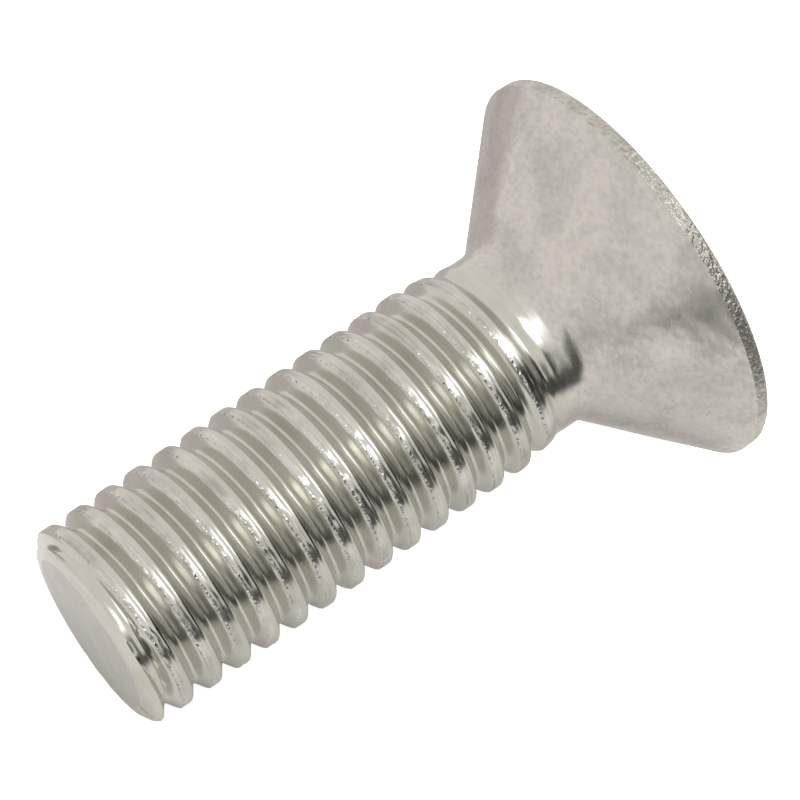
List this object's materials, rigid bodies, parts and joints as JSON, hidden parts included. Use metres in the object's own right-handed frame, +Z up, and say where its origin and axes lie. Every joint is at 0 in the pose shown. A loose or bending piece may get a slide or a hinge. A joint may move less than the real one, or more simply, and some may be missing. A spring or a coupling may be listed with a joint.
{
  "type": "countersunk socket screw",
  "caption": "Stainless steel machine screw with a conical countersunk head, a hexagon socket and a rolled metric thread along the whole shank.",
  "frame": {"origin": "on the surface that the screw lies on, under the centre of its box", "axes": "+Z up, +X towards the head; the screw's own axis lies in the XZ plane and leans 9.83 degrees, point down, because it rests on the rim of its head and on the crest of its last thread"},
  "size_m": [0.0258, 0.0158, 0.0157],
  "materials": {
    "steel": "satin stainless steel as cold headed and thread rolled, with fine handling scratches"
  },
  "bodies": {
    "root": {"screw": "steel"}
  },
  "joints": []
}
